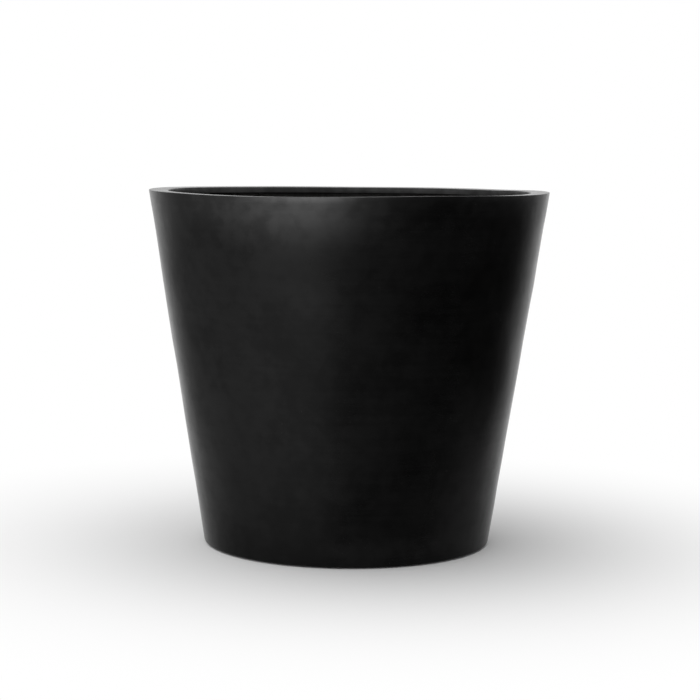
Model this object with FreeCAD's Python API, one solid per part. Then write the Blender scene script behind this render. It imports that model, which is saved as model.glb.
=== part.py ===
"""A tapered round floor planter in black cast stone, with its rim turned inwards.

The pot is one moulding, laid up from the outside in: a facing of pigmented stone and resin, a glass-fibre
ring that backs the rim, a glass-fibre lining on the wall, a thicker glass-fibre floor, and a putty fillet in
the corner where wall and floor meet. A rubber plug closes the drain hole, and rubber pads keep the foot off
the ground.

Millimetres. +Z is up, and the origin is on the ground under the middle of the pot.
"""

import FreeCAD
import Part

import math
import os

# Pot, outside
RIM_DIAMETER = 680.0
BASE_DIAMETER = 490.0
SHELL_HEIGHT = 600.0
RIM_WIDTH = 32.0

# Layers of the moulding, each measured square to its own face
FACING_THICKNESS = 4.0
RIM_BACKING_THICKNESS = 6.0
WALL_LINING_THICKNESS = 5.0
FLOOR_PANEL_THICKNESS = 8.0

# Rounded edges of the facing
RIM_EDGE_RADIUS = 1.5
LIP_EDGE_RADIUS = 1.5
BASE_EDGE_RADIUS = 6.0
FOOT_EDGE_RADIUS = 3.0
DRAIN_EDGE_RADIUS = 1.5

# Underside: a hollow inside the foot ring, whose wall leans out by the draft
UNDERSIDE_RECESS = 6.0
RECESS_DRAFT = 4.0

# Fillet in the corner: its length along floor and wall, and how far its face is hollowed
CORNER_FILLET_LEG = 18.0
CORNER_FILLET_HOLLOW = 3.0

# Drain hole and its plug
DRAIN_DIAMETER = 34.0
PLUG_CLEARANCE = 0.3
PLUG_HEAD_OVERLAP = 9.0
PLUG_HEAD_THICKNESS = 5.0
PLUG_HEAD_EDGE_RADIUS = 2.0
PLUG_DISH_DEPTH = 2.0
PLUG_DISH_RIM = 6.0
PLUG_DISH_EDGE_RADIUS = 1.5
PLUG_TAIL_LENGTH = 3.0
PLUG_TAIL_BEVEL = 2.0
PLUG_RIB_COUNT = 2
PLUG_RIB_HEIGHT = 1.0
PLUG_RIB_EDGE_RADIUS = 0.4

# Pads, glued into shallow seats round the foot ring
PAD_COUNT = 4
PAD_DIAMETER = 28.0
PAD_THICKNESS = 3.5
PAD_EDGE_RADIUS = 1.0
PAD_SEAT_DEPTH = 1.5
PAD_SEAT_CLEARANCE = 0.5
PAD_LAND = 6.0

# How far a cutter runs past the face that it cuts
OVERRUN = 1.0

FULL_TURN = 360.0
AXIS_POINT = FreeCAD.Vector(0, 0, 0)
UP = FreeCAD.Vector(0, 0, 1)

# Heights that the pieces share
FOOT_Z = PAD_THICKNESS - PAD_SEAT_DEPTH
UNDERSIDE_Z = FOOT_Z + UNDERSIDE_RECESS
BASE_TOP_Z = UNDERSIDE_Z + FACING_THICKNESS
FLOOR_Z = BASE_TOP_Z + FLOOR_PANEL_THICKNESS
RIM_Z = FOOT_Z + SHELL_HEIGHT
RIM_UNDER_Z = RIM_Z - FACING_THICKNESS
LIP_Z = RIM_UNDER_Z - RIM_BACKING_THICKNESS

# Radii that the pieces share
RIM_RADIUS = RIM_DIAMETER / 2
BASE_RADIUS = BASE_DIAMETER / 2
LIP_RADIUS = RIM_RADIUS - RIM_WIDTH
LIP_BACK_RADIUS = LIP_RADIUS + FACING_THICKNESS
DRAIN_RADIUS = DRAIN_DIAMETER / 2
PAD_RADIUS = PAD_DIAMETER / 2
PAD_SEAT_RADIUS = PAD_RADIUS + PAD_SEAT_CLEARANCE
PAD_CIRCLE_RADIUS = BASE_RADIUS - BASE_EDGE_RADIUS - PAD_LAND - PAD_SEAT_RADIUS
FOOT_RING_RADIUS = PAD_CIRCLE_RADIUS - PAD_SEAT_RADIUS - PAD_LAND

# The wall leans out by this angle
WALL_LEAN = math.atan2(RIM_RADIUS - BASE_RADIUS, SHELL_HEIGHT)
LINED_WALL = FACING_THICKNESS + WALL_LINING_THICKNESS


def wall_radius(height, depth=0):
    """Radius of the wall at a height, at a depth below its outer face."""
    outside = BASE_RADIUS + (height - FOOT_Z) * math.tan(WALL_LEAN)
    return outside - depth / math.cos(WALL_LEAN)


def point(radius, height):
    """A point of an outline, which is drawn in the XZ plane."""
    return FreeCAD.Vector(radius, 0, height)


def corner_arc(before, corner, after, radius):
    """Start, middle and end of the arc that rounds a corner. A sharp corner has all three in one place."""
    if radius == 0:
        return corner, corner, corner
    back = (before - corner).normalize()
    ahead = (after - corner).normalize()
    half_angle = back.getAngle(ahead) / 2
    tangent_length = radius / math.tan(half_angle)
    bisector = (back + ahead).normalize()
    middle = corner + bisector * (radius / math.sin(half_angle) - radius)
    return corner + back * tangent_length, middle, corner + ahead * tangent_length


def turned(corners):
    """A solid of revolution from the (radius, height, rounding) corners of its half section."""
    places = [point(radius, height) for radius, height, rounding in corners]
    roundings = [rounding for radius, height, rounding in corners]
    neighbours = zip(places[-1:] + places[:-1], places, places[1:] + places[:1], roundings)
    arcs = [corner_arc(*corner) for corner in neighbours]
    edges = []
    for last_arc, arc, rounding in zip(arcs[-1:] + arcs[:-1], arcs, roundings):
        edges.append(Part.LineSegment(last_arc[-1], arc[0]).toShape())
        if rounding > 0:
            edges.append(Part.Arc(*arc).toShape())
    section = Part.Face(Part.Wire(edges))
    return section.revolve(AXIS_POINT, UP, FULL_TURN)


def pad_places():
    """Middles of the pads on the ground, evenly spaced and clear of the X and Y axes."""
    step = 2 * math.pi / PAD_COUNT
    angles = [step * (number + 1 / 2) for number in range(PAD_COUNT)]
    return [FreeCAD.Vector(math.cos(a), math.sin(a), 0) * PAD_CIRCLE_RADIUS for a in angles]


def facing_shell():
    """Stone-and-resin skin: underside, foot ring, wall, rim and the lip that turns down inside it."""
    shell = turned([
        (DRAIN_RADIUS, UNDERSIDE_Z, DRAIN_EDGE_RADIUS),
        (FOOT_RING_RADIUS - RECESS_DRAFT, UNDERSIDE_Z, FOOT_EDGE_RADIUS),
        (FOOT_RING_RADIUS, FOOT_Z, FOOT_EDGE_RADIUS),
        (BASE_RADIUS, FOOT_Z, BASE_EDGE_RADIUS),
        (RIM_RADIUS, RIM_Z, RIM_EDGE_RADIUS),
        (LIP_RADIUS, RIM_Z, LIP_EDGE_RADIUS),
        (LIP_RADIUS, LIP_Z, LIP_EDGE_RADIUS),
        (LIP_BACK_RADIUS, LIP_Z, 0),
        (LIP_BACK_RADIUS, RIM_UNDER_Z, 0),
        (wall_radius(RIM_UNDER_Z, FACING_THICKNESS), RIM_UNDER_Z, 0),
        (wall_radius(BASE_TOP_Z, FACING_THICKNESS), BASE_TOP_Z, 0),
        (DRAIN_RADIUS, BASE_TOP_Z, 0),
    ])
    for place in pad_places():
        below = place + UP * (FOOT_Z - OVERRUN)
        shell = shell.cut(Part.makeCylinder(PAD_SEAT_RADIUS, PAD_SEAT_DEPTH + OVERRUN, below, UP))
    return shell


def rim_backing():
    """Glass-fibre ring that fills the turned-in rim from below, between the lip and the wall's facing."""
    return turned([
        (LIP_BACK_RADIUS, LIP_Z, 0),
        (wall_radius(LIP_Z, FACING_THICKNESS), LIP_Z, 0),
        (wall_radius(RIM_UNDER_Z, FACING_THICKNESS), RIM_UNDER_Z, 0),
        (LIP_BACK_RADIUS, RIM_UNDER_Z, 0),
    ])


def wall_lining():
    """Glass-fibre laminate on the inside of the wall, from the base up to the rim's backing."""
    return turned([
        (wall_radius(BASE_TOP_Z, LINED_WALL), BASE_TOP_Z, 0),
        (wall_radius(BASE_TOP_Z, FACING_THICKNESS), BASE_TOP_Z, 0),
        (wall_radius(LIP_Z, FACING_THICKNESS), LIP_Z, 0),
        (wall_radius(LIP_Z, LINED_WALL), LIP_Z, 0),
    ])


def floor_panel():
    """Glass-fibre floor, laid on the base inside the wall's lining, with the drain hole through it."""
    return turned([
        (DRAIN_RADIUS, BASE_TOP_Z, 0),
        (wall_radius(BASE_TOP_Z, LINED_WALL), BASE_TOP_Z, 0),
        (wall_radius(FLOOR_Z, LINED_WALL), FLOOR_Z, 0),
        (DRAIN_RADIUS, FLOOR_Z, 0),
    ])


def corner_fillet():
    """Hollow-faced ring of resin putty that ties the floor to the wall's lining."""
    corner = point(wall_radius(FLOOR_Z, LINED_WALL), FLOOR_Z)
    on_floor = corner - point(CORNER_FILLET_LEG, 0)
    on_wall = corner + point(math.sin(WALL_LEAN), math.cos(WALL_LEAN)) * CORNER_FILLET_LEG
    chord_middle = (on_floor + on_wall) / 2
    hollow = chord_middle + (corner - chord_middle).normalize() * CORNER_FILLET_HOLLOW
    edges = [
        Part.LineSegment(on_floor, corner).toShape(),
        Part.LineSegment(corner, on_wall).toShape(),
        Part.Arc(on_wall, hollow, on_floor).toShape(),
    ]
    return Part.Face(Part.Wire(edges)).revolve(AXIS_POINT, UP, FULL_TURN)


def drain_plug():
    """Rubber stopper: a dished head on the floor, and a ribbed shank down through the drain hole."""
    rib_radius = DRAIN_RADIUS - PLUG_CLEARANCE
    shank_radius = rib_radius - PLUG_RIB_HEIGHT
    head_radius = DRAIN_RADIUS + PLUG_HEAD_OVERLAP
    dish_radius = head_radius - PLUG_DISH_RIM
    head_z = FLOOR_Z + PLUG_HEAD_THICKNESS
    tail_z = UNDERSIDE_Z - PLUG_TAIL_LENGTH
    bevel_z = tail_z + PLUG_TAIL_BEVEL
    rib_pitch = (FLOOR_Z - UNDERSIDE_Z) / PLUG_RIB_COUNT
    half_rib = rib_pitch / 4
    corners = [(0, tail_z, 0), (shank_radius - PLUG_TAIL_BEVEL, tail_z, 0), (shank_radius, bevel_z, 0)]
    for number in range(PLUG_RIB_COUNT):
        rib_z = UNDERSIDE_Z + rib_pitch * (number + 1 / 2)
        corners += [
            (shank_radius, rib_z - half_rib, 0),
            (rib_radius, rib_z, PLUG_RIB_EDGE_RADIUS),
            (shank_radius, rib_z + half_rib, 0),
        ]
    corners += [
        (shank_radius, FLOOR_Z, 0),
        (head_radius, FLOOR_Z, 0),
        (head_radius, head_z, PLUG_HEAD_EDGE_RADIUS),
        (dish_radius, head_z, PLUG_DISH_EDGE_RADIUS),
        (dish_radius - PLUG_DISH_DEPTH, head_z - PLUG_DISH_DEPTH, PLUG_DISH_EDGE_RADIUS),
        (0, head_z - PLUG_DISH_DEPTH, 0),
    ]
    return turned(corners)


def foot_pads():
    """Rubber discs in their seats, standing on the ground."""
    pad = turned([
        (0, 0, 0),
        (PAD_RADIUS, 0, PAD_EDGE_RADIUS),
        (PAD_RADIUS, PAD_THICKNESS, 0),
        (0, PAD_THICKNESS, 0),
    ])
    return {f"foot_pad_{number}": pad.translated(place) for number, place in enumerate(pad_places(), 1)}


def planter():
    """Every piece of the pot by its name."""
    pieces = {
        "facing_shell": facing_shell(),
        "rim_backing": rim_backing(),
        "wall_lining": wall_lining(),
        "floor_panel": floor_panel(),
        "corner_fillet": corner_fillet(),
        "drain_plug": drain_plug(),
    }
    pieces.update(foot_pads())
    return pieces


os.makedirs("parts", exist_ok=True)
for name, shape in planter().items():
    shape.exportStep(f"parts/{name}.step")
    print(f"{name}: {len(shape.Solids)} solid, {shape.Volume:.0f} mm3, valid {shape.isValid()}")
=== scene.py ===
import bmesh
import bpy
import math
from mathutils import Matrix, Vector


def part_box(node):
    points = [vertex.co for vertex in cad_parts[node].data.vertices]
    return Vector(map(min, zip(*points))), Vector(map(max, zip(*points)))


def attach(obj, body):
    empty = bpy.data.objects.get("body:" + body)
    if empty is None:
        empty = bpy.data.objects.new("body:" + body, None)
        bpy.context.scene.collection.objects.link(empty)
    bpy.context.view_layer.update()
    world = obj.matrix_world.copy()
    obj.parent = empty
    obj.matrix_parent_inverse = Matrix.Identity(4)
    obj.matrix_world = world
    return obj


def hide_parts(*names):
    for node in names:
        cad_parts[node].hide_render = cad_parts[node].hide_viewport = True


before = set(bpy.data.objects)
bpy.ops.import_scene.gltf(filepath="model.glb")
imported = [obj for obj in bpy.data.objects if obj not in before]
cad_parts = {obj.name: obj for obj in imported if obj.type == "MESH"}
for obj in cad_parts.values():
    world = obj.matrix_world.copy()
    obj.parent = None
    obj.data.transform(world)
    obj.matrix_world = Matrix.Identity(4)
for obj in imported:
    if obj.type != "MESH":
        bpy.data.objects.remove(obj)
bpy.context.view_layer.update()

# Facing shell: the skin of the pot, with its outside wall, rim, lip and underside in one piece.
# It is black stone powder in resin, brushed into a mould by hand, then sanded round and waxed to a
# satin sheen. The wax is thickest in one patch under the rim, with a thicker band and spots on the
# front, all set where the softbox's highlight falls: partly real wax, partly a painted highlight.
# The face of the lip is paler grey.
rim_radius = 0.340
base_radius = 0.245
lip_radius = 0.308
facing = 0.004
rim_fall = 0.0009
rim_edge = 0.001
lip_edge = 0.0015
lip_overhang = 0.001
trimmed_edge = 0.0006
base_edge = 0.0025
foot_edge = 0.003
drain_radius = 0.017
drain_edge = 0.0015
foot_ring_radius = 0.198
recess_draft = 0.004
shell_low, shell_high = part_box("facing_shell")
lining_low, lining_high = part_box("wall_lining")
foot_z = shell_low.z
rim_z = shell_high.z
base_top_z = lining_low.z
lip_z = lining_high.z
underside_z = base_top_z - facing
wall_lean = math.atan2(rim_radius - base_radius, rim_z - foot_z)
ring_sides = 256
round_steps = 5
sharp_angle = math.radians(35)
merge_distance = 0.00001
cut_slack_share = 0.05


def wall_radius(height, depth=0):
    """Radius of the wall at a height, at a depth below its outer face."""
    outside = base_radius + (height - foot_z) * math.tan(wall_lean)
    return outside - depth / math.cos(wall_lean)


def choose(piece):
    """Make one piece the active and only selected object."""
    bpy.ops.object.select_all(action="DESELECT")
    piece.select_set(True)
    bpy.context.view_layer.objects.active = piece


def start_ring(name, radius, height, sides=ring_sides):
    """An open circle of edges round the pot's axis, in edit mode, with its object at the origin."""
    bpy.ops.object.select_all(action="DESELECT")
    bpy.ops.mesh.primitive_circle_add(vertices=sides, radius=radius, location=(0, 0, height))
    piece = bpy.context.object
    piece.name = name
    piece.data.name = name
    bpy.ops.object.transform_apply(location=True, rotation=True, scale=True)
    bpy.ops.object.mode_set(mode="EDIT")
    return piece


def pull_rings(corners):
    """Pull the selected ring on from corner to corner of a section, each a (radius, height)."""
    radius, height = corners[0]
    for next_radius, next_height in corners[1:]:
        bpy.ops.mesh.extrude_region_move(
            TRANSFORM_OT_translate={"value": (0, 0, next_height - height)}
        )
        growth = next_radius / radius
        bpy.ops.transform.resize(value=(growth, growth, 1), center_override=(0, 0, next_height))
        radius, height = next_radius, next_height


def merge_and_face_out():
    """Close the seams of the mesh that is being edited and turn its faces outwards."""
    bpy.ops.mesh.select_all(action="SELECT")
    bpy.ops.mesh.remove_doubles(threshold=merge_distance)
    bpy.ops.mesh.normals_make_consistent(inside=False)


def turn_ring(name, corners):
    """A closed ring whose section has these corners, in edit mode."""
    piece = start_ring(name, *corners[0])
    pull_rings(corners + corners[:1])
    merge_and_face_out()
    return piece


def ring_place(point):
    """A point's radius and height."""
    return math.hypot(point.x, point.y), point.z


def select_edges(piece, wanted):
    """Select the edges of the mesh being edited whose two ends, as (radius, height), are wanted."""
    bpy.ops.mesh.select_mode(type="EDGE")
    bpy.ops.mesh.select_all(action="DESELECT")
    mesh = bmesh.from_edit_mesh(piece.data)
    for edge in mesh.edges:
        edge.select_set(wanted(*[ring_place(end.co) for end in edge.verts]))
    bmesh.update_edit_mesh(piece.data)


def select_ring(piece, corner):
    """Select the ring of edges that runs through one corner of the section."""
    select_edges(piece, lambda *ends: all(math.dist(end, corner) < merge_distance for end in ends))


def round_ring(piece, corner, radius):
    """Round the ring of edges that runs through one corner of the section."""
    select_ring(piece, corner)
    bpy.ops.mesh.bevel(offset=radius, segments=round_steps, affect="EDGES", clamp_overlap=False)


def cut_rings(piece, start, end, cuts):
    """Divide the face between two corners of the section, so that new rings lie between them."""
    slack = math.dist(start, end) * cut_slack_share

    def crosses(*ends):
        return all(min(math.dist(corner, place) for place in ends) < slack for corner in (start, end))

    select_edges(piece, crosses)
    bpy.ops.mesh.subdivide(number_cuts=cuts)


def close_piece():
    """Leave edit mode with the piece's faces shaded smooth, except across sharp edges."""
    bpy.ops.object.mode_set(mode="OBJECT")
    bpy.ops.object.shade_smooth_by_angle(angle=sharp_angle)


def cut_away(piece, cutter):
    """Cut a cutter's shape out of a piece, and throw the cutter away."""
    choose(piece)
    cut = piece.modifiers.new("cut", "BOOLEAN")
    cut.operation = "DIFFERENCE"
    cut.solver = "EXACT"
    cut.object = cutter
    bpy.ops.object.modifier_apply(modifier=cut.name)
    bpy.data.objects.remove(cutter)


facing_corners = [
    (drain_radius, underside_z),
    (foot_ring_radius - recess_draft, underside_z),
    (foot_ring_radius, foot_z),
    (base_radius, foot_z),
    (rim_radius, rim_z),
    (lip_radius, rim_z - rim_fall),
    (lip_radius, lip_z - lip_overhang),
    (lip_radius + facing, lip_z - lip_overhang),
    (lip_radius + facing, rim_z - facing),
    (wall_radius(rim_z - facing, facing), rim_z - facing),
    (wall_radius(base_top_z, facing), base_top_z),
    (drain_radius, base_top_z),
]
facing_roundings = [drain_edge, foot_edge, foot_edge, base_edge, rim_edge, lip_edge, trimmed_edge]
shell = turn_ring("facing_shell_skin", facing_corners)
for corner, rounding in zip(facing_corners, facing_roundings):
    round_ring(shell, corner, rounding)
wall_cuts = 59
cut_rings(shell, (base_radius, foot_z), (rim_radius, rim_z), wall_cuts)
bpy.ops.object.mode_set(mode="OBJECT")

pad_names = sorted(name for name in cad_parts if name.startswith("foot_pad_"))
pad_middles = [sum(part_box(name), Vector()) / 2 for name in pad_names]
pad_low, pad_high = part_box(pad_names[0])
pad_radius = (pad_high.x - pad_low.x) / 2
pad_seat_clearance = 0.0005
pad_seat_depth = pad_high.z - foot_z
pad_sides = 64
for pad_middle in pad_middles:
    bpy.ops.mesh.primitive_cylinder_add(
        vertices=pad_sides,
        radius=pad_radius + pad_seat_clearance,
        depth=2 * pad_seat_depth,
        location=(pad_middle.x, pad_middle.y, foot_z),
    )
    cut_away(shell, bpy.context.object)

wave_size = 0.1
wave_height = 0.002
still_foot = 0.08
still_rim = 0.04
noise_middle = 0.5
# How the rim lies out of level: at bearings in degrees, each with its rise and how far that reaches.
rim_faults = [
    (-127, -0.0009, 0.2),
    (-109, -0.0011, 0.24),
    (-60, 0.0015, 0.25),
    (-17, 0.001, 0.16),
    (8, 0.002, 0.2),
    (59, 0.0006, 0.2),
    (87, -0.0006, 0.26),
    (165, 0.0012, 0.25),
]


def weigh(piece, name, weight_at):
    """A vertex group whose weights follow a rule on each point's radius and height."""
    group = piece.vertex_groups.new(name=name)
    for vertex in piece.data.vertices:
        group.add([vertex.index], weight_at(*ring_place(vertex.co)), "REPLACE")


def shake(piece, name, size, height, group):
    """Push a group in and out by a soft noise of one size, as uneven handwork does, and apply it."""
    texture = bpy.data.textures.new(name, "CLOUDS")
    texture.noise_scale = size
    texture.noise_depth = 1
    shaker = piece.modifiers.new(name, "DISPLACE")
    shaker.texture = texture
    shaker.texture_coords = "LOCAL"
    shaker.mid_level = noise_middle
    shaker.strength = height
    shaker.vertex_group = group
    bpy.ops.object.modifier_apply(modifier=name)


def nudge(piece, spot, shift, reach):
    """Pull the mesh at the point that lies nearest to a spot, and what lies within reach of it less."""
    bpy.ops.object.mode_set(mode="EDIT")
    bpy.ops.mesh.select_mode(type="VERT")
    bpy.ops.mesh.select_all(action="DESELECT")
    mesh = bmesh.from_edit_mesh(piece.data)
    nearest = min(mesh.verts, key=lambda point: (point.co - Vector(spot)).length)
    nearest.select_set(True)
    bmesh.update_edit_mesh(piece.data)
    bpy.ops.transform.translate(
        value=shift,
        use_proportional_edit=True,
        proportional_size=reach,
        proportional_edit_falloff="SMOOTH",
    )
    bpy.ops.object.mode_set(mode="OBJECT")


def settle(piece):
    """Let a piece follow the rim, which is not quite level."""
    for degrees, rise, reach in rim_faults:
        bearing = math.radians(degrees)
        spot = (rim_radius * math.cos(bearing), rim_radius * math.sin(bearing), rim_z)
        nudge(piece, spot, (0, 0, rise), reach)


def wall_weight(radius, height):
    """1 on the outside of the wall, falling to 0 at its foot and its rim."""
    if radius < wall_radius(height, facing / 2):
        return 0.0
    return max(0.0, min(1.0, (height - foot_z) / still_foot, (rim_z - height) / still_rim))


choose(shell)
weigh(shell, "wall", wall_weight)
shake(shell, "wall_waves", wave_size, wave_height, "wall")
settle(shell)
bpy.ops.object.shade_smooth_by_angle(angle=sharp_angle)


class Wire:
    """A socket of a node tree. Sums and products of wires add Math nodes, and node() any other."""

    def __init__(self, tree, socket=None):
        self.tree = tree
        self.socket = socket

    def feed(self, socket, value):
        """Link a wire to a socket, or set the socket to a plain value."""
        if isinstance(value, Wire):
            self.tree.links.new(value.socket, socket)
        else:
            socket.default_value = value

    def node(self, kind, settings=None, sockets=None, output=None):
        """Add a node, set it up, feed its sockets by name or number, and wire one of its outputs."""
        made = self.tree.nodes.new(kind)
        for name, value in (settings or {}).items():
            setattr(made, name, value)
        for name, value in (sockets or {}).items():
            ways_in = [socket for socket in made.inputs if socket.enabled]
            found = [socket for number, socket in enumerate(ways_in) if name in (number, socket.name)]
            self.feed(found[0], value)
        ways_out = [socket for socket in made.outputs if socket.enabled]
        chosen = [socket for socket in ways_out if output in (None, socket.name)]
        return Wire(self.tree, chosen[0] if chosen else None)

    def math(self, operation, *values):
        """One Math node on values or wires."""
        return self.node("ShaderNodeMath", {"operation": operation}, dict(enumerate(values)))

    def __add__(self, other):
        return self.math("ADD", self, other)

    __radd__ = __add__

    def __sub__(self, other):
        return self.math("SUBTRACT", self, other)

    def __rsub__(self, other):
        return self.math("SUBTRACT", other, self)

    def __mul__(self, other):
        return self.math("MULTIPLY", self, other)

    __rmul__ = __mul__

    def span(self, low, high, to_low=0.0, to_high=1.0):
        """This value's stretch from low to high, eased and spread from to_low to to_high."""
        return self.node(
            "ShaderNodeMapRange",
            {"interpolation_type": "SMOOTHSTEP"},
            {"Value": self, "From Min": low, "From Max": high, "To Min": to_low, "To Max": to_high},
        )

    def between(self, low, high):
        """A colour from low to high, with this value as the share of high."""
        return self.node(
            "ShaderNodeMix",
            {"data_type": "RGBA"},
            {"Factor": self, "A": low, "B": high},
        )

    def along(self, axis):
        """These coordinates' value along X, Y or Z."""
        return self.node("ShaderNodeSeparateXYZ", {}, {"Vector": self}, axis)

    def away_from(self, spot):
        """How far these coordinates are from a spot."""
        return self.node("ShaderNodeVectorMath", {"operation": "DISTANCE"}, {0: self, 1: spot}, "Value")

    def stretched(self, scales):
        """These coordinates, scaled along X, Y and Z."""
        return self.node("ShaderNodeVectorMath", {"operation": "MULTIPLY"}, {0: self, 1: scales})

    def turned(self, angles):
        """These coordinates, turned about X, Y and Z."""
        return self.node(
            "ShaderNodeVectorRotate",
            {"rotation_type": "EULER_XYZ"},
            {"Vector": self, "Rotation": angles},
        )

    def noise(self, scale, detail):
        """Soft noise at these coordinates, with about that many patches to the metre."""
        return self.node(
            "ShaderNodeTexNoise", {}, {"Vector": self, "Scale": scale, "Detail": detail}, "Fac"
        )

    def cells(self, scale):
        """Distance to the nearest of many scattered points, with about that many to the metre."""
        return self.node(
            "ShaderNodeTexVoronoi", {"feature": "F1"}, {"Vector": self, "Scale": scale}, "Distance"
        )

    def relief(self, depth=0.001):
        """A normal bent by this height, which is measured in depths."""
        return self.node("ShaderNodeBump", {}, {"Strength": 1.0, "Distance": depth, "Height": self})


def start_finish(name):
    """A new empty material, with a wire from its Object coordinates."""
    material = bpy.data.materials.new(name)
    material.use_nodes = True
    material.node_tree.nodes.clear()
    return material, Wire(material.node_tree).node("ShaderNodeTexCoord", output="Object")


def finish_with(place, **sockets):
    """End a material in one Principled shader, whose sockets are named with _ for a space."""
    named = {name.replace("_", " "): value for name, value in sockets.items()}
    surface = place.node("ShaderNodeBsdfPrincipled", {}, named)
    place.node("ShaderNodeOutputMaterial", {}, {"Surface": surface})


def grey(level):
    """A neutral colour."""
    return (level, level, level, 1.0)


def dress(piece, material):
    """Give a piece its one material."""
    piece.data.materials.clear()
    piece.data.materials.append(material)


stone_black = grey(0.0015)
stone_grey = grey(0.0045)
pit_dust = grey(0.014)
lip_dark = grey(0.04)
lip_pale = grey(0.1)
rubbed_depth = 0.11
# The patch and the front band below are thicker wax set where the softbox's highlight falls: partly
# real wax, partly a painted highlight.
patch_x, patch_y = -0.085, -0.33
patch_core, patch_reach = 0.03, 0.25
patch_squash = 2.4
front_middle = (-0.1, -0.28, 0)
front_core, front_reach = 0.02, 0.14
# Spots of thicker wax, set where the highlight falls and partly a painted highlight: the middle of
# each, how far it reaches, and the wax that it adds.
highlight_wax_spots = [
    ((-0.035, -0.336, 0.595), 0.09, 0.17),
    ((-0.22, -0.256, 0.595), 0.08, 0.09),
    ((-0.06, -0.305, 0.43), 0.07, 0.07),
]

stone, place = start_finish("waxed_black_stone")
height = place.along("Z")
level_place = place.stretched((1, 1, 0))
clouds = place.noise(8, 5).span(0.32, 0.68)
mottling = place.noise(48, 6).span(0.3, 0.7)
grain = place.noise(420, 3)
sanding = place.stretched((5, 5, 150)).noise(1, 4).span(0.3, 0.7)
pits = place.cells(95).span(0.1, 0.03) * place.noise(14, 2).span(0.56, 0.66)

smears = (clouds * 0.5 + mottling * 0.4 + sanding * 0.1).span(0.2, 0.8)
# Thick wax: the patch, front band and spots, set where the softbox's highlight falls, partly a painted
# highlight.
squashed_place = place.stretched((1, 1, patch_squash))
patch_distance = squashed_place.away_from((patch_x, patch_y, patch_squash * rim_z))
highlight_wax_patch = patch_distance.span(patch_reach, patch_core)
highlight_wax_band = level_place.away_from(front_middle).span(front_reach, front_core)
rubbed_rim = height.span(rim_z - rubbed_depth, rim_z)
spot_highlight_wax = sum(place.away_from(middle).span(reach, 0) * extra for middle, reach, extra in highlight_wax_spots)
thin_wax = 0.095 + smears * 0.05 + rubbed_rim * smears * 0.05
thick_highlight_wax = highlight_wax_band * 0.11 + highlight_wax_patch * (0.44 + smears * 0.2) + spot_highlight_wax

# The face of the lip is paler grey than the wall.
inside_rim = level_place.away_from((0, 0, 0)).span(lip_radius + facing, lip_radius + lip_edge)
above_wall = height.span(lip_z - 2 * facing, lip_z - facing)
below_edge = height.span(rim_z, rim_z - rim_fall - lip_edge)
pale_lip_face = inside_rim * above_wall * below_edge
lip_colour = (mottling * 0.5 + clouds * 0.5).between(lip_dark, lip_pale)
stone_tone = clouds * 0.5 + mottling * 0.3 + sanding * 0.2
dusty_stone = pits.between(stone_tone.between(stone_black, stone_grey), pit_dust)
stone_height = grain * 0.06 + sanding * 0.05 + mottling * 0.08 - pits * 0.5
finish_with(
    place,
    Base_Color=pale_lip_face.between(dusty_stone, lip_colour),
    Roughness=0.23 - clouds * 0.03 - mottling * 0.03 + pits * 0.2,
    Specular_IOR_Level=0.032,
    Coat_Weight=thin_wax + thick_highlight_wax,
    Coat_Roughness=0.25,
    Normal=stone_height.relief(),
)
dress(shell, stone)
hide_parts("facing_shell")
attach(shell, "pot")

# Rim backing: a ring of glass mat and black resin, packed into the turned-in rim from below.
# It is laid in wet, behind the lip, and rolled down by hand, so its underside is uneven.
backing_corners = [
    (lip_radius + facing, lip_z),
    (wall_radius(lip_z, facing), lip_z),
    (wall_radius(rim_z - facing, facing), rim_z - facing),
    (lip_radius + facing, rim_z - facing),
]
backing = turn_ring("rim_backing_ring", backing_corners)
backing_cuts = 5
cut_rings(backing, backing_corners[0], backing_corners[1], backing_cuts)
close_piece()
backing_lump_size = 0.02
backing_lump_height = 0.0016


def underside_weight(radius, height):
    """1 on the underside of the backing, between its two edges."""
    inner, outer = backing_corners[0][0], backing_corners[1][0]
    between_edges = inner + merge_distance < radius < outer - merge_distance
    return float(between_edges and height < lip_z + merge_distance)


weigh(backing, "underside", underside_weight)
shake(backing, "backing_lumps", backing_lump_size, backing_lump_height, "underside")
settle(backing)
laminate_dark = (0.018, 0.018, 0.0175, 1.0)
laminate_pale = (0.085, 0.083, 0.079, 1.0)
strand_scales = (22, 210, 210)
strand_width = 0.035
strand_turns = [
    (0, 0, 0),
    (0, 0, 1.57),
    (0, 1.57, 0),
    (0.6, 0.5, 0.8),
    (0.4, 2.5, 0.7),
    (2.4, 0.6, 2.3),
]


def strands(place, turn):
    """One layer of glass strands, turned its own way: the ridges of a stretched noise."""
    swell = place.turned(turn).stretched(strand_scales).noise(1, 1)
    return place.math("ABSOLUTE", swell - noise_middle).span(strand_width, 0.0)


laminate, place = start_finish("glass_mat_laminate")
fibres = strands(place, strand_turns[0])
for turn in strand_turns[1:]:
    fibres = place.math("MAXIMUM", fibres, strands(place, turn))
resin_pools = place.noise(16, 3).span(0.35, 0.65)
dust = place.noise(130, 4).span(0.4, 0.75)
laminate_tone = resin_pools * 0.25 + fibres * 0.45 + dust * 0.3
finish_with(
    place,
    Base_Color=laminate_tone.between(laminate_dark, laminate_pale),
    Roughness=0.62 - resin_pools * 0.2 + dust * 0.12,
    Specular_IOR_Level=0.3,
    Normal=(fibres * 0.35 + resin_pools * 0.5 + dust * 0.08).relief(),
)
dress(backing, laminate)
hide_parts("rim_backing")
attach(backing, "pot")

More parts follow.
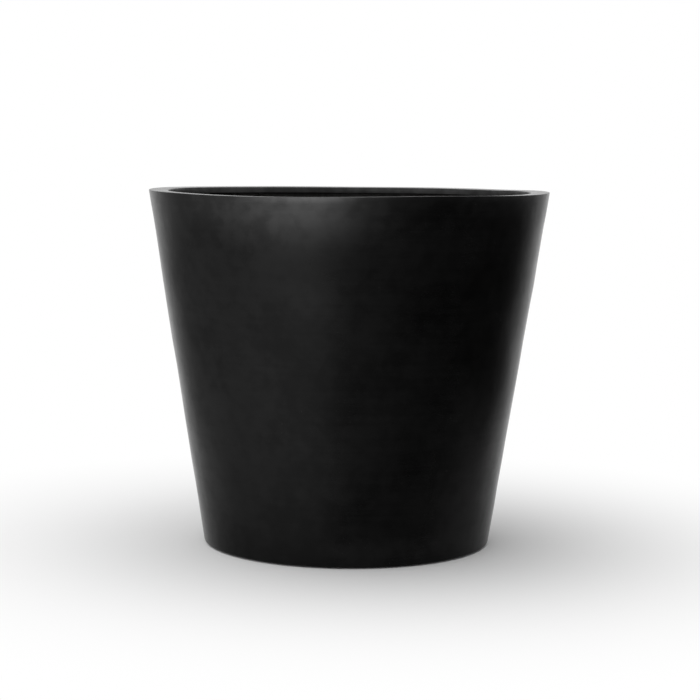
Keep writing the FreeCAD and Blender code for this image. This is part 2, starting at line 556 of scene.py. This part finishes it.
# Wall lining: sheets of glass mat in black resin, laid up on the inside of the facing.
# The sheets are rolled on by hand and lap over each other, so the laps stand proud as upright bands.
lining = 0.005
lined_wall = facing + lining
lining_corners = [
    (wall_radius(base_top_z, lined_wall), base_top_z),
    (wall_radius(base_top_z, facing), base_top_z),
    (wall_radius(lip_z, facing), lip_z),
    (wall_radius(lip_z, lined_wall), lip_z),
]
liner = turn_ring("wall_lining_sheets", lining_corners)
cut_rings(liner, lining_corners[0], lining_corners[3], wall_cuts)
lap_bearings = [math.radians(degrees) for degrees in (-160, -88, -21, 44, 117)]
lap_half_width = math.radians(4)
lap_height = 0.002
lap_edge = 0.0015
lining_lump_size = 0.05
lining_lump_height = 0.0022


def select_faces(piece, wanted):
    """Select the faces of the mesh being edited whose middle and normal are wanted."""
    bpy.ops.mesh.select_mode(type="FACE")
    bpy.ops.mesh.select_all(action="DESELECT")
    mesh = bmesh.from_edit_mesh(piece.data)
    for face in mesh.faces:
        face.select_set(wanted(face.calc_center_median(), face.normal))
    bmesh.update_edit_mesh(piece.data)


def on_lap(middle, normal):
    """Whether a face looks inwards and lies on one of the laps."""
    looks_in = normal.x * middle.x + normal.y * middle.y < 0
    bearing = math.atan2(middle.y, middle.x)
    return looks_in and any(abs(bearing - lap) < lap_half_width for lap in lap_bearings)


def lining_weight(radius, height):
    """1 on the inside of the lining, and 0 on its outside."""
    return float(radius < wall_radius(height, facing + lining / 2))


select_faces(liner, on_lap)
bpy.ops.mesh.inset(thickness=lap_edge, use_even_offset=True)
bpy.ops.transform.shrink_fatten(value=lap_height)
close_piece()
weigh(liner, "inside", lining_weight)
shake(liner, "lining_lumps", lining_lump_size, lining_lump_height, "inside")
settle(liner)
dress(liner, laminate)
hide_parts("wall_lining")
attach(liner, "pot")

# Floor panel: a thicker disc of the same glass mat and resin, laid on the base inside the lining.
# The drain hole is cut through it when the resin is hard, and its edge is sanded round.
panel_low, panel_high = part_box("floor_panel")
floor_z = panel_high.z
hole_edge = 0.001
panel_corners = [
    (drain_radius, base_top_z),
    (wall_radius(base_top_z, lined_wall), base_top_z),
    (wall_radius(floor_z, lined_wall), floor_z),
    (drain_radius, floor_z),
]
panel = turn_ring("floor_panel_disc", panel_corners)
round_ring(panel, panel_corners[3], hole_edge)
panel_cuts = 23
cut_rings(panel, panel_corners[2], panel_corners[3], panel_cuts)
close_piece()
plug_seat_radius = 0.03
seat_blend = 0.05
panel_lump_size = 0.06
panel_lump_height = 0.002


def panel_weight(radius, height):
    """0 on the flat seat of the plug, rising outwards on the top of the panel."""
    if height < floor_z - merge_distance:
        return 0.0
    return max(0.0, min(1.0, (radius - plug_seat_radius) / seat_blend))


weigh(panel, "top", panel_weight)
shake(panel, "panel_lumps", panel_lump_size, panel_lump_height, "top")
dress(panel, laminate)
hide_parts("floor_panel")
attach(panel, "pot")

# Corner fillet: a ring of dark resin putty in the corner between floor and wall.
# It is pressed in and drawn off with a rounded spreader, which leaves its face hollow and streaky.
fillet_leg = 0.018
fillet_hollow = 0.003
fillet_steps = 8
spreader_wave_size = 0.045
spreader_wave_height = 0.0014
putty_dark = (0.028, 0.028, 0.027, 1.0)
putty_pale = (0.062, 0.061, 0.058, 1.0)
fillet_corner = Vector((wall_radius(floor_z, lined_wall), floor_z))
on_floor = fillet_corner - Vector((fillet_leg, 0))
on_wall = fillet_corner + Vector((math.sin(wall_lean), math.cos(wall_lean))) * fillet_leg
inwards = (fillet_corner - (on_floor + on_wall) / 2).normalized()
fillet_section = [on_floor, fillet_corner, on_wall]
for step in range(1, fillet_steps):
    way = step / fillet_steps
    hollow_share = 4 * way * (1 - way)
    fillet_section.append(on_wall.lerp(on_floor, way) + inwards * fillet_hollow * hollow_share)
fillet = turn_ring("corner_fillet_ring", [tuple(corner) for corner in fillet_section])
close_piece()


def fillet_weight(radius, height):
    """1 on the hollow face, and 0 in the corner and at the two feather edges."""
    return float(height > floor_z + merge_distance and radius < on_wall.x - merge_distance)


weigh(fillet, "face", fillet_weight)
shake(fillet, "spreader_waves", spreader_wave_size, spreader_wave_height, "face")
putty, place = start_finish("resin_putty")
streaks = place.stretched((14, 14, 420)).noise(1, 3).span(0.3, 0.7)
lumps = place.noise(60, 4).span(0.35, 0.7)
air_holes = place.cells(210).span(0.16, 0.06) * place.noise(30, 2).span(0.55, 0.65)
finish_with(
    place,
    Base_Color=(streaks * 0.5 + lumps * 0.5).between(putty_dark, putty_pale),
    Roughness=0.7 - streaks * 0.12 + air_holes * 0.2,
    Specular_IOR_Level=0.35,
    Normal=(streaks * 0.25 + lumps * 0.2 - air_holes * 0.6).relief(),
)
dress(fillet, putty)
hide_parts("corner_fillet")
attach(fillet, "pot")

# Drain plug: a moulded rubber stopper with a dished head and two sealing ribs on its shank.
# It is pushed into the drain hole from inside and held by its ribs alone.
plug_low, plug_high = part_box("drain_plug")
plug_clearance = 0.0003
rib_count = 2
rib_height = 0.001
rib_edge = 0.0004
head_edge = 0.002
dish_rim = 0.006
dish_depth = 0.002
dish_edge = 0.0015
tail_bevel = 0.002
gate_radius = 0.003
gate_height = 0.0006
gate_edge = 0.0003
plug_sides = 128
head_radius = (plug_high.x - plug_low.x) / 2
rib_radius = drain_radius - plug_clearance
shank_radius = rib_radius - rib_height
dish_radius = head_radius - dish_rim
dish_z = plug_high.z - dish_depth
rib_pitch = (floor_z - underside_z) / rib_count
half_rib = rib_pitch / 4
rib_crests = [(rib_radius, underside_z + rib_pitch * (number + 1 / 2)) for number in range(rib_count)]
plug_section = [(shank_radius - tail_bevel, plug_low.z), (shank_radius, plug_low.z + tail_bevel)]
for crest_radius, crest_z in rib_crests:
    plug_section += [
        (shank_radius, crest_z - half_rib),
        (crest_radius, crest_z),
        (shank_radius, crest_z + half_rib),
    ]
head_brim = (head_radius, plug_high.z)
dish_brim = (dish_radius, plug_high.z)
dish_foot = (dish_radius - dish_depth, dish_z)
gate_top = (gate_radius, dish_z + gate_height)
plug_section += [
    (shank_radius, floor_z),
    (head_radius, floor_z),
    head_brim,
    dish_brim,
    dish_foot,
    (gate_radius, dish_z),
    gate_top,
]
plug_roundings = [(crest, rib_edge) for crest in rib_crests] + [
    (head_brim, head_edge),
    (dish_brim, dish_edge),
    (dish_foot, dish_edge),
    (gate_top, gate_edge),
]


def turn_stopper(name, corners, sides):
    """A body turned round the pot's axis from a section that ends in two flat caps, in edit mode."""
    piece = start_ring(name, *corners[0], sides)
    bpy.ops.mesh.edge_face_add()
    select_ring(piece, corners[0])
    pull_rings(corners)
    bpy.ops.mesh.edge_face_add()
    merge_and_face_out()
    return piece


def rubber(name, dark, pale):
    """Moulded black rubber, with a dusty bloom on it and fine scuffs."""
    material, place = start_finish(name)
    bloom = place.noise(120, 4).span(0.4, 0.7)
    scuffs = place.stretched((260, 900, 500)).noise(1, 3).span(0.58, 0.7)
    skin = place.noise(2200, 2)
    finish_with(
        place,
        Base_Color=(bloom * 0.6 + scuffs * 0.4).between(dark, pale),
        Roughness=0.5 + bloom * 0.18 + scuffs * 0.1,
        Specular_IOR_Level=0.4,
        Normal=(skin * 0.05 + bloom * 0.06 - scuffs * 0.04).relief(),
    )
    return material


plug = turn_stopper("drain_plug_stopper", plug_section, plug_sides)
for corner, rounding in plug_roundings:
    round_ring(plug, corner, rounding)
close_piece()
dress(plug, rubber("plug_rubber_skin", grey(0.012), grey(0.03)))
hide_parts("drain_plug")
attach(plug, "plug")

# Foot pads: four rubber discs that keep the foot ring off the ground.
# Each is glued into its shallow seat, with two grooves and a dimple in the face it stands on.
pad_edge = 0.001
groove_depth = 0.0005
groove_width = 0.0014
groove_slope = groove_width / 3
groove_radii = (0.0045, 0.0085)
dimple_radius = 0.0015
pad_section = [(dimple_radius, pad_low.z + groove_depth)]
for groove_radius in groove_radii:
    pad_section += [
        (groove_radius - groove_width, pad_low.z),
        (groove_radius, pad_low.z),
        (groove_radius + groove_slope, pad_low.z + groove_depth),
        (groove_radius + groove_width - groove_slope, pad_low.z + groove_depth),
        (groove_radius + groove_width, pad_low.z),
    ]
pad_section += [(pad_radius, pad_low.z), (pad_radius, pad_high.z)]
first_pad = turn_stopper("pad", pad_section, pad_sides)
round_ring(first_pad, (pad_radius, pad_low.z), pad_edge)
close_piece()
dress(first_pad, rubber("pad_rubber_skin", grey(0.016), grey(0.038)))
for name, pad_middle in zip(pad_names, pad_middles):
    choose(first_pad)
    bpy.ops.object.duplicate()
    pad = bpy.context.object
    pad.name = f"{name}_disc"
    pad.data.name = f"{name}_disc"
    bpy.ops.transform.translate(value=(pad_middle.x, pad_middle.y, 0))
    bpy.ops.object.transform_apply(location=True, rotation=True, scale=True)
    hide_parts(name)
    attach(pad, "pot")
bpy.data.objects.remove(first_pad)

# Stage: a pale studio floor that runs out to a white surround.
# Both look white from the camera and in reflections, and give the pot a plain level of light.
floor_half = 30.0
floor_paint = grey(0.9)
shadow_reach = 0.3
white_by = 1.0
surround_light = 0.35
white = grey(1.0)
bpy.ops.object.select_all(action="DESELECT")
bpy.ops.mesh.primitive_plane_add(size=2 * floor_half)
ground = bpy.context.object
ground.name = "studio_floor"


def seen_rays(wire):
    """1 for rays from the camera and from glossy or clear surfaces, and 0 for those that only light."""
    camera_rays, glossy_rays, clear_rays = [
        wire.node("ShaderNodeLightPath", output=kind)
        for kind in ("Is Camera Ray", "Is Glossy Ray", "Is Transmission Ray")
    ]
    return wire.math("MINIMUM", camera_rays + glossy_rays + clear_rays, 1.0)


def blend_surfaces(place, share, first, second):
    """End a material in a mix of two shaders, with this share of the second."""
    surface = place.node("ShaderNodeMixShader", {}, {0: share, 1: first, 2: second})
    place.node("ShaderNodeOutputMaterial", {}, {"Surface": surface})


floor_coat, place = start_finish("white_floor")
far = place.away_from((0, 0, 0)).span(shadow_reach, white_by)
painted = place.node("ShaderNodeBsdfDiffuse", {}, {"Color": floor_paint})
glowing = place.node("ShaderNodeEmission", {}, {"Color": white, "Strength": 1.0})
blend_surfaces(place, far * seen_rays(place), painted, glowing)
floor_coat.cycles.emission_sampling = "NONE"
dress(ground, floor_coat)

world = bpy.data.worlds.new("studio_surround")
bpy.context.scene.world = world
world.use_nodes = True
world.node_tree.nodes.clear()
sky = Wire(world.node_tree)
backdrop = sky.node(
    "ShaderNodeBackground",
    {},
    {"Color": white, "Strength": seen_rays(sky).span(0, 1, surround_light, 1.0)},
)
sky.node("ShaderNodeOutputWorld", {}, {"Surface": backdrop})

# Dark card: a curved sheet of dark paper round the right of the pot, which keeps its sheen low there,
# with a thinner wing on the left. It leans out as the wall does and fades out towards its edges.
# It shows only in reflections, with no shadow of its own.
card_foot_reach = 0.33
card_top_reach = 0.5
card_height = 0.64
card_top_fade = 0.125
card_foot_heights = (0.3, -0.1)
thin_edge_bearings = (math.radians(-108), math.radians(-86))
full_edge_bearings = (math.radians(-98), math.radians(-46))
thin_share = 0.5
cut_foot_bearings = (math.radians(-70), math.radians(-30))
back_edge_bearings = (math.radians(23), math.radians(-10))
back_edge_lean = math.radians(20)
# The wing's bearings are counted from the left, and grow towards its back.
wing_front_bearings = (math.radians(-34), math.radians(-8))
wing_back_bearings = (math.radians(20), math.radians(-4))
wing_foot_heights = (0.05, 0.28)
wing_top_heights = (0.6, 0.42)
wing_full_share = 0.46
card_grey = grey(0.1)
bpy.ops.object.select_all(action="DESELECT")
bpy.ops.mesh.primitive_cone_add(
    vertices=ring_sides,
    radius1=card_foot_reach,
    radius2=card_top_reach,
    depth=card_height,
    end_fill_type="NOTHING",
    location=(0, 0, card_height / 2),
)
card = bpy.context.object
card.name = "dark_card"
bpy.ops.object.transform_apply(location=True, rotation=True, scale=True)
card_paper, place = start_finish("dark_card_paper")
height = place.along("Z")
bearing = place.math("ARCTAN2", place.along("Y"), place.along("X"))
thin_edge = bearing.span(*thin_edge_bearings)
full_edge = bearing.span(*full_edge_bearings)
front_share = thin_edge * thin_share + full_edge * (1 - thin_share)
back_share = (bearing + (card_height - height) * back_edge_lean).span(*back_edge_bearings)
foot_share = 1 - bearing.span(*cut_foot_bearings) * height.span(*card_foot_heights)
top_share = height.span(card_height, card_height - card_top_fade)
card_share = front_share * back_share * foot_share * top_share
left_bearing = place.math("ARCTAN2", place.along("Y"), place.along("X") * -1)
wing_width_share = left_bearing.span(*wing_front_bearings) * left_bearing.span(*wing_back_bearings)
wing_height_share = height.span(*wing_foot_heights) * height.span(*wing_top_heights)
wing_share = wing_width_share * wing_height_share * wing_full_share
clear = place.node("ShaderNodeBsdfTransparent")
dark = place.node("ShaderNodeBsdfDiffuse", {}, {"Color": card_grey})
blend_surfaces(place, card_share + wing_share, clear, dark)
dress(card, card_paper)
card.visible_camera = False
card.visible_diffuse = False
card.visible_shadow = False

# Lamps: one long, low softbox in front on the left, and a wide soft sky that lights every side.
# Both are white, at a plain level, and neither is seen by the camera.
softbox_width = 2.6
softbox_height = 0.9
softbox_place = Vector((-1.0, -2.15, 0.46))
softbox_target = Vector((0, 0, 0.4))
softbox_power = 18
sky_power = 1.9
sky_spread = math.radians(90)
sky_direction = Vector((0.25, -0.15, -1.0))


def hang_lamp(light, spot, direction):
    """Hang a lamp at a spot, so that it shines along a direction."""
    lamp = bpy.data.objects.new(light.name, light)
    bpy.context.scene.collection.objects.link(lamp)
    lamp.location = spot
    lamp.rotation_euler = direction.to_track_quat("-Z", "Y").to_euler()
    lamp.visible_camera = False


softbox = bpy.data.lights.new("front_left_softbox", "AREA")
softbox.shape = "RECTANGLE"
softbox.size = softbox_width
softbox.size_y = softbox_height
softbox.energy = softbox_power
hang_lamp(softbox, softbox_place, softbox_target - softbox_place)
soft_sky = bpy.data.lights.new("soft_sky", "SUN")
soft_sky.energy = sky_power
soft_sky.angle = sky_spread
hang_lamp(soft_sky, (0, 0, 0), sky_direction)

# Camera: a long lens in front of the pot, a little above its rim, as in the photograph.
# Its place, turns and focal length are fitted to the pot's outline in a picture 700 pixels wide.
camera_distance = 3.35
camera_height = 0.6878
camera_pitch = 0.1071
camera_yaw = -0.0011
camera_roll = 0.0097
image_side = 700
focal_pixels = 1960
sensor_width = 36.0
camera_data = bpy.data.cameras.new("camera")
camera_data.sensor_width = sensor_width
camera_data.lens = sensor_width * focal_pixels / image_side
camera = bpy.data.objects.new("camera", camera_data)
bpy.context.scene.collection.objects.link(camera)
bpy.context.scene.camera = camera
camera.matrix_world = (
    Matrix.Translation((0, -camera_distance, foot_z + camera_height))
    @ Matrix.Rotation(camera_yaw, 4, "Z")
    @ Matrix.Rotation(math.pi / 2 - camera_pitch, 4, "X")
    @ Matrix.Rotation(camera_roll, 4, "Z")
)

bpy.context.scene.view_settings.view_transform = "Standard"
